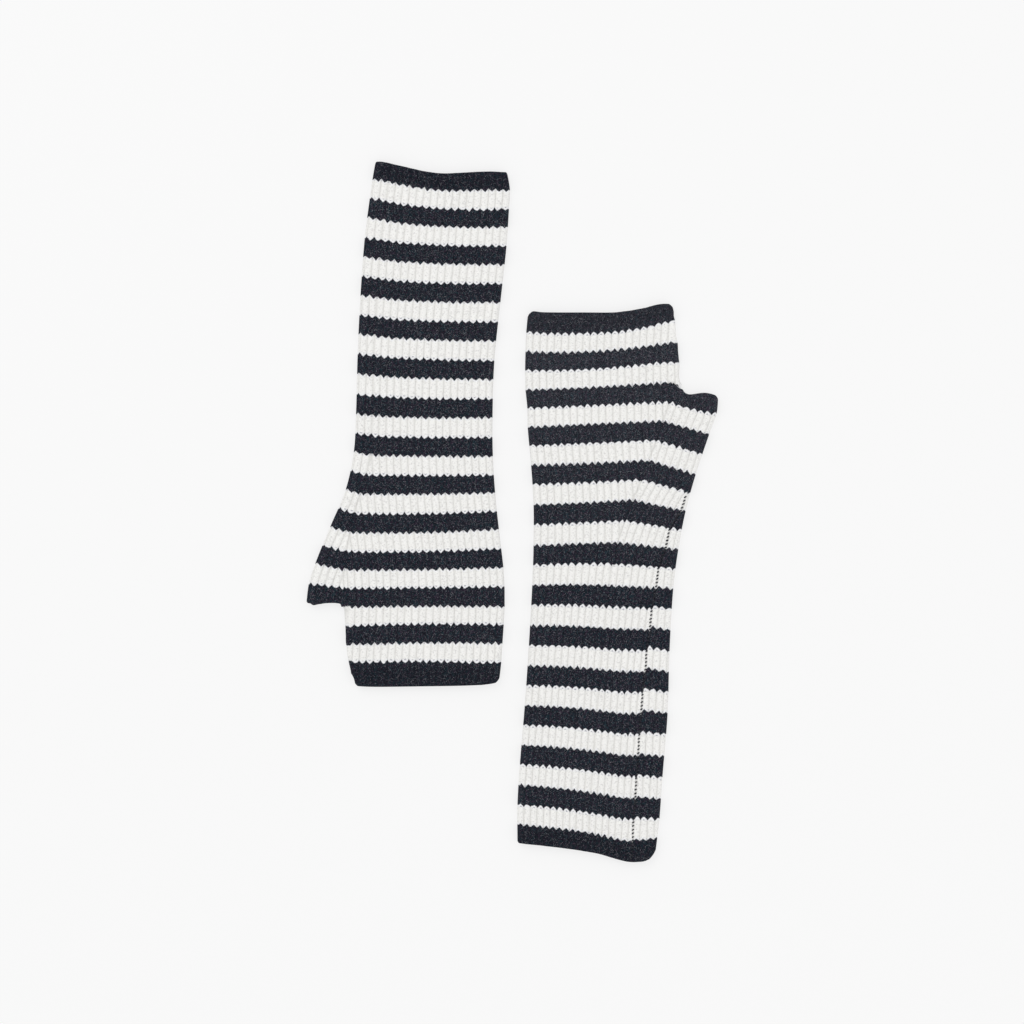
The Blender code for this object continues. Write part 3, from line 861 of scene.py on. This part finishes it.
# Where a pattern sets in, as (level, sharpness).
CREST_ONLY = (0.62, 4.0)
VALLEY_ONLY = (0.25, -4.0)
OPEN_STITCHES = (0.42, 8.0)
COOL_EDGES = (0.36, 8.0)
CURLED = (0.5, 5.0)
TEAL_FIBRES = (0.5, 9.0)
PLUM_FIBRES = (0.46, -9.0)
PALE_FLECKS = (0.55, 9.0)
DEEP_PLACES = (0.5, -7.0)
HEM_PLACES = (BANDS / 2 - 1, 3.0)

# How much of a pattern's colour is taken.
COOL_SHARE = 0.5
# The next three give the painted shade in the cream's rib valleys, mixed with the pile noise.
VALLEY_SHADE_SHARE = 0.7
VALLEY_SHADE_PILE = 0.5
VALLEY_SHADE_POWER = 4.0
LOOP_SHARE = 0.85
FLECKS_IN_VALLEY = 0.6
HEM_SHARE = 0.3
DEEP_SHARE = 0.6

# The dark wool's paling towards the hand fades out this many bands from it.
PALING_BANDS = 14.0

# Finishes, as (roughness, gloss, strength of the pile, its depth in metres).
WOOL_FINISH = (0.95, 0.06, 0.5, 0.4 * MM)
YARN_FINISH = (0.9, 0.12, 0.3, 0.2 * MM)


def stripes(web, place, band, rise):
    """The bands counted from the middle of each dark one, and the share of cream.

    Cream lies from 0.5 to 1.5 of that count. The first and the last band are dark right out.
    """
    turn = ((band - 0.5) * 0.5).fraction() * 2
    fray = (web.noise(place, *FRAYS) - 0.5) * (2 * FRAY)
    arch = rise * (1 - rise) * (4 * LOOP_ARCH)
    start = ((turn - 0.5 + arch + fray) * EDGE_SHARPNESS + 0.5).clamped()
    end = ((1.5 - turn + fray) * EDGE_SHARPNESS + 0.5).clamped()
    return turn, start * end * (band > 0.5) * (band < BANDS - 0.5)


def cream_wool(web, place, turn, rise, pile, patch):
    """The cream bands' colour, with painted shade in the rib valleys."""
    # Painted shade: the cream greys in its rib valleys, where shade falls, and with the pile noise.
    valley = (1 - rise).power(VALLEY_SHADE_POWER)
    cool = abs(turn - 1.0).past(*COOL_EDGES) * COOL_SHARE
    shaded = (valley * VALLEY_SHADE_SHARE + (pile - 0.5) * VALLEY_SHADE_PILE).clamped()
    loop = (1 - abs(turn - LOOP_PLACE) * LOOP_THINNESS).clamped() * rise.past(*CREST_ONLY)
    gap = (1 - abs(turn - GAP_PLACE) * GAP_THINNESS).clamped() * rise.past(*VALLEY_ONLY)
    shown = web.noise(place, *STITCHES).past(*OPEN_STITCHES) * LOOP_SHARE
    cream = web.mix(patch.past(*CURLED), CREAM, CREAM_CURL)
    cream = web.mix(cool, cream, CREAM_COOL)
    cream = web.mix(shaded, cream, CREAM_VALLEY_SHADE)
    return web.mix((loop + gap).clamped() * shown, cream, CREAM_LOOP)


def ink_wool(web, place, band, rise, pile, patch, worn):
    """The dark bands' colour."""
    tint = web.noise(place, *TINTS)
    fleck = web.noise(place, *FLECKS).past(*PALE_FLECKS)
    fleck = fleck * (rise * (1 - FLECKS_IN_VALLEY) + FLECKS_IN_VALLEY)
    towards_hand = ((PALING_BANDS - band) * (1 / PALING_BANDS)).clamped()
    in_hem = abs(band - BANDS / 2).past(*HEM_PLACES)
    deep = (pile.past(*DEEP_PLACES) + patch.past(*DEEP_PLACES)) * DEEP_SHARE
    ink = web.mix(tint.past(*TEAL_FIBRES), INK, INK_TEAL)
    ink = web.mix(tint.past(*PLUM_FIBRES), ink, INK_PLUM)
    ink = web.mix(fleck, ink, INK_FLECK)
    # The dark wool is mixed paler towards the hand.
    ink = web.mix(towards_hand * worn, ink, INK_FLECK)
    ink = web.mix(in_hem * HEM_SHARE, ink, INK_DEEP)
    return web.mix(deep.clamped(), ink, INK_DEEP)


def wool_material(warmer):
    """Ribbed wool with dark and cream bands, read from the knitting's own map."""
    web = Web(warmer.node + "_wool")
    knit = web.wire("ShaderNodeUVMap", "UV", {"uv_map": "knit"})
    parts = web.node("ShaderNodeSeparateXYZ", None, {"Vector": knit})
    band = Wire(web, parts.outputs["Y"])
    rise = web.wire("ShaderNodeAttribute", "Fac", {"attribute_name": "rise"})
    place = web.wire("ShaderNodeTexCoord", "Object")
    pile = web.noise(place, *PILE)
    patch = web.noise(place, *CURLS)
    turn, cream_share = stripes(web, place, band, rise)
    cream = cream_wool(web, place, turn, rise, pile, patch)
    ink = ink_wool(web, place, band, rise, pile, patch, warmer.worn)
    return web.finish(web.mix(cream_share, ink, cream), pile, *WOOL_FINISH)


def yarn_material(name, dark, pale):
    """Loose yarn that varies between two colours."""
    web = Web(name)
    place = web.wire("ShaderNodeTexCoord", "Object")
    grain = web.noise(place, *YARN_PILE)
    return web.finish(web.mix(grain, dark, pale), grain, *YARN_FINISH)


def finished(made, name, warmer):
    """A mesh in millimetres, made a piece that lies with its warmer."""
    bmesh.ops.scale(made, vec=(MM, MM, MM), verts=made.verts)
    mesh = bpy.data.meshes.new(name)
    made.to_mesh(mesh)
    made.free()
    mesh.shade_smooth()
    piece = new_piece(mesh)
    lay_down(piece, warmer)
    return piece


# The linking thread: how far apart its stitches are, their size as (long, wide, high), their slant in
# degrees, and the bands they run through, which are traced in small steps.
THREAD_STEP = 1.95
THREAD_SIZE = (2.0, 0.85, 0.7)
THREAD_LIFT = 0.5
THREAD_SLANT = 25
THREAD_BANDS = (9.1, 26.9)
THREAD_TRACE = 0.02
THREAD_FROM_EDGE = 0.8


def seam_stitches(warmer):
    """The linking thread: short slanted stitches all down the seam."""
    level = VALLEY_HEIGHT + THREAD_LIFT if warmer.seam_on_top else UNDER_RISE
    places = []
    for band in np.arange(*THREAD_BANDS, THREAD_TRACE):
        course = arm_course(warmer, band)
        x = min(course.seam_x(warmer.seam_on_top), course.right - THREAD_FROM_EDGE)
        places.append(Vector((x, float(course.y(x)), level)))
    made = bmesh.new()
    turn = Matrix.Rotation(math.radians(THREAD_SLANT), 3, "Z")
    travelled = 0.0
    for here, there in zip(places, places[1:]):
        travelled += (there - here).length
        if travelled < THREAD_STEP:
            continue
        travelled -= THREAD_STEP
        stitch = bmesh.ops.create_icosphere(made, subdivisions=1, radius=0.5)["verts"]
        bmesh.ops.scale(made, vec=THREAD_SIZE, verts=stitch)
        bmesh.ops.rotate(made, matrix=turn, verts=stitch)
        bmesh.ops.translate(made, vec=here, verts=stitch)
    return finished(made, warmer.node + "_seam_thread", warmer)


# The loose fibres: their lengths, bends and lifts from least to most, and what share of a band they
# keep off its edges.
FIBRES_TO_A_BAND = 110
FIBRE_WIDTH = 0.05
FIBRE_LENGTHS = (0.8, 2.6)
FIBRE_BENDS = (-0.8, 0.8)
FIBRE_LIFTS = (0.1, 0.6)
FIBRE_FROM_EDGE = 0.08
FIBRE_CLEARANCE = 0.12
FIBRE_SHAPES = 5


def fibre_shape(bend, lift):
    """One loose fibre a millimetre long, as a bent three-sided sliver that tapers to one end."""
    made = bmesh.new()
    bmesh.ops.create_cone(
        made, cap_ends=False, segments=3, radius1=FIBRE_WIDTH, radius2=FIBRE_WIDTH / 3, depth=1.0
    )
    bmesh.ops.rotate(made, matrix=Matrix.Rotation(math.pi / 2, 3, "Y"), verts=made.verts)
    lengthwise = [edge for edge in made.edges if edge.calc_length() > 0.5]
    bmesh.ops.subdivide_edges(made, edges=lengthwise, cuts=1)
    for vert in made.verts:
        vert.co.y += bend * vert.co.x**2
        vert.co.z += lift * (0.25 - vert.co.x**2)
    bmesh.ops.holes_fill(made, edges=made.edges)
    mesh = bpy.data.meshes.new("fibre")
    made.to_mesh(mesh)
    made.free()
    return mesh


def loose_fibres(warmer):
    """Pale fibres that stand out of the dark wool."""
    chance = np.random.default_rng(warmer.body_ribs)
    least, most = zip(FIBRE_BENDS, FIBRE_LIFTS)
    shapes = [fibre_shape(*chance.uniform(least, most)) for _ in range(FIBRE_SHAPES)]
    made = bmesh.new()
    for band in range(0, BANDS, 2):
        rows, hems = (warmer.hand, (warmer.hand_hem,))
        if band >= CROTCH_BAND:
            rows, hems = (warmer.arm, (warmer.arm_hem, warmer.thumb_hem))
        for i in range(FIBRES_TO_A_BAND):
            down, across, angle, long = chance.random(4)
            within = FIBRE_FROM_EDGE + (1 - 2 * FIBRE_FROM_EDGE) * down
            course = Course(warmer, rows, hems, band + within)
            x = course.left + EDGE_ROUND + (course.right - course.left - 2 * EDGE_ROUND) * across
            place = Vector((x, float(course.y(x)), VALLEY_HEIGHT + RIB_RISE + FIBRE_CLEARANCE))
            size = FIBRE_LENGTHS[0] + (FIBRE_LENGTHS[1] - FIBRE_LENGTHS[0]) * long
            turned = Matrix.Translation(place) @ Matrix.Rotation(angle * math.pi, 4, "Z")
            fibre = shapes[i % FIBRE_SHAPES].copy()
            fibre.transform(turned @ Matrix.Diagonal((size, 1, 1, 1)))
            made.from_mesh(fibre)
            bpy.data.meshes.remove(fibre)
    for shape in shapes:
        bpy.data.meshes.remove(shape)
    return finished(made, warmer.node + "_loose_fibres", warmer)


def dress(piece, material):
    """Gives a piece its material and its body."""
    piece.data.materials.clear()
    piece.data.materials.append(material)
    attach(piece, "root")


def make_warmer(warmer, thread_yarn, fibre_yarn):
    """A warmer's knitting, with its seam's thread and its loose fibres."""
    knitting = carved(knit_tube(warmer), hollows_of(warmer))
    lay_down(knitting, warmer)
    knitting.data.shade_smooth()
    dress(knitting, wool_material(warmer))
    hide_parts(warmer.node)
    thread = seam_stitches(warmer)
    dress(thread, thread_yarn)
    fibres = loose_fibres(warmer)
    dress(fibres, fibre_yarn)


# The studio, in metres and watts. A light is (name, place, width, power), and PHOTO_SPAN is how much
# of the floor the photo takes in.
FLOOR_SIZE = 6.0
FLOOR_DROP = 0.2 * MM
FLOOR_PALE = (0.2, 0.2, 0.2)
FLOOR_MOTTLED = (0.198, 0.198, 0.198)
FLOOR_GRAIN = (40.0, 2.0, 0.5)
FLOOR_ROUGHNESS = 0.9
FLOOR_GLOW = 0.73
ROOM_LIGHT = 0.88
LIGHTS = (("key", (-0.9, 1.1, 1.6), 1.2, 9), ("fill", (1.2, -0.8, 1.6), 1.6, 5))
PHOTO_SPAN = 0.5478
CAMERA_HEIGHT = 2.5
WHITE = (1, 1, 1)


def add_floor():
    """A pale table that also glows, so that it takes hardly any shadow."""
    made = bmesh.new()
    bmesh.ops.create_grid(made, x_segments=2, y_segments=2, size=FLOOR_SIZE / 2)
    bmesh.ops.translate(made, vec=(0, 0, -FLOOR_DROP), verts=made.verts)
    mesh = bpy.data.meshes.new("light_table")
    made.to_mesh(mesh)
    made.free()
    floor = new_piece(mesh)
    web = Web("white_table")
    place = web.wire("ShaderNodeTexCoord", "Object")
    grain = web.noise(place, *FLOOR_GRAIN)
    web.feed(web.shader.inputs["Emission Color"], WHITE)
    web.feed(web.shader.inputs["Emission Strength"], FLOOR_GLOW)
    colour = web.mix(grain, FLOOR_MOTTLED, FLOOR_PALE)
    mesh.materials.append(web.finish(colour, None, FLOOR_ROUGHNESS, gloss=0))


def add_light(name, place, width, power):
    """A round soft light that faces the pair."""
    data = bpy.data.lights.new(name, "AREA")
    data.shape = "DISK"
    data.size = width
    data.energy = power
    light = bpy.data.objects.new(name, data)
    light.location = place
    light.rotation_euler = (-Vector(place)).to_track_quat("-Z", "Y").to_euler()
    bpy.context.scene.collection.objects.link(light)


def add_lights():
    """An even white room and the studio's lights."""
    world = bpy.data.worlds.new("studio")
    world.use_nodes = True
    background = world.node_tree.nodes["Background"]
    background.inputs["Color"].default_value = (*WHITE, 1)
    background.inputs["Strength"].default_value = ROOM_LIGHT
    bpy.context.scene.world = world
    for light in LIGHTS:
        add_light(*light)


def add_camera():
    """The camera straight above the pair."""
    data = bpy.data.cameras.new("overhead")
    data.lens = data.sensor_width * CAMERA_HEIGHT / PHOTO_SPAN
    camera = bpy.data.objects.new("overhead", data)
    camera.location = (0, 0, CAMERA_HEIGHT)
    bpy.context.scene.collection.objects.link(camera)
    bpy.context.scene.camera = camera


def set_picture():
    """Plain colours, as the photo has."""
    view = bpy.context.scene.view_settings
    view.view_transform = "Standard"
    view.look = "None"
    view.exposure = 0.0
    view.gamma = 1.0


thread_wool = yarn_material("linking_thread", THREAD_DARK, THREAD_PALE)
fibre_wool = yarn_material("loose_fibre_wool", FIBRE_DARK, FIBRE_PALE)
for pair_member in (SEAM_UP, SEAM_DOWN):
    make_warmer(pair_member, thread_wool, fibre_wool)
add_floor()
add_lights()
add_camera()
set_picture()
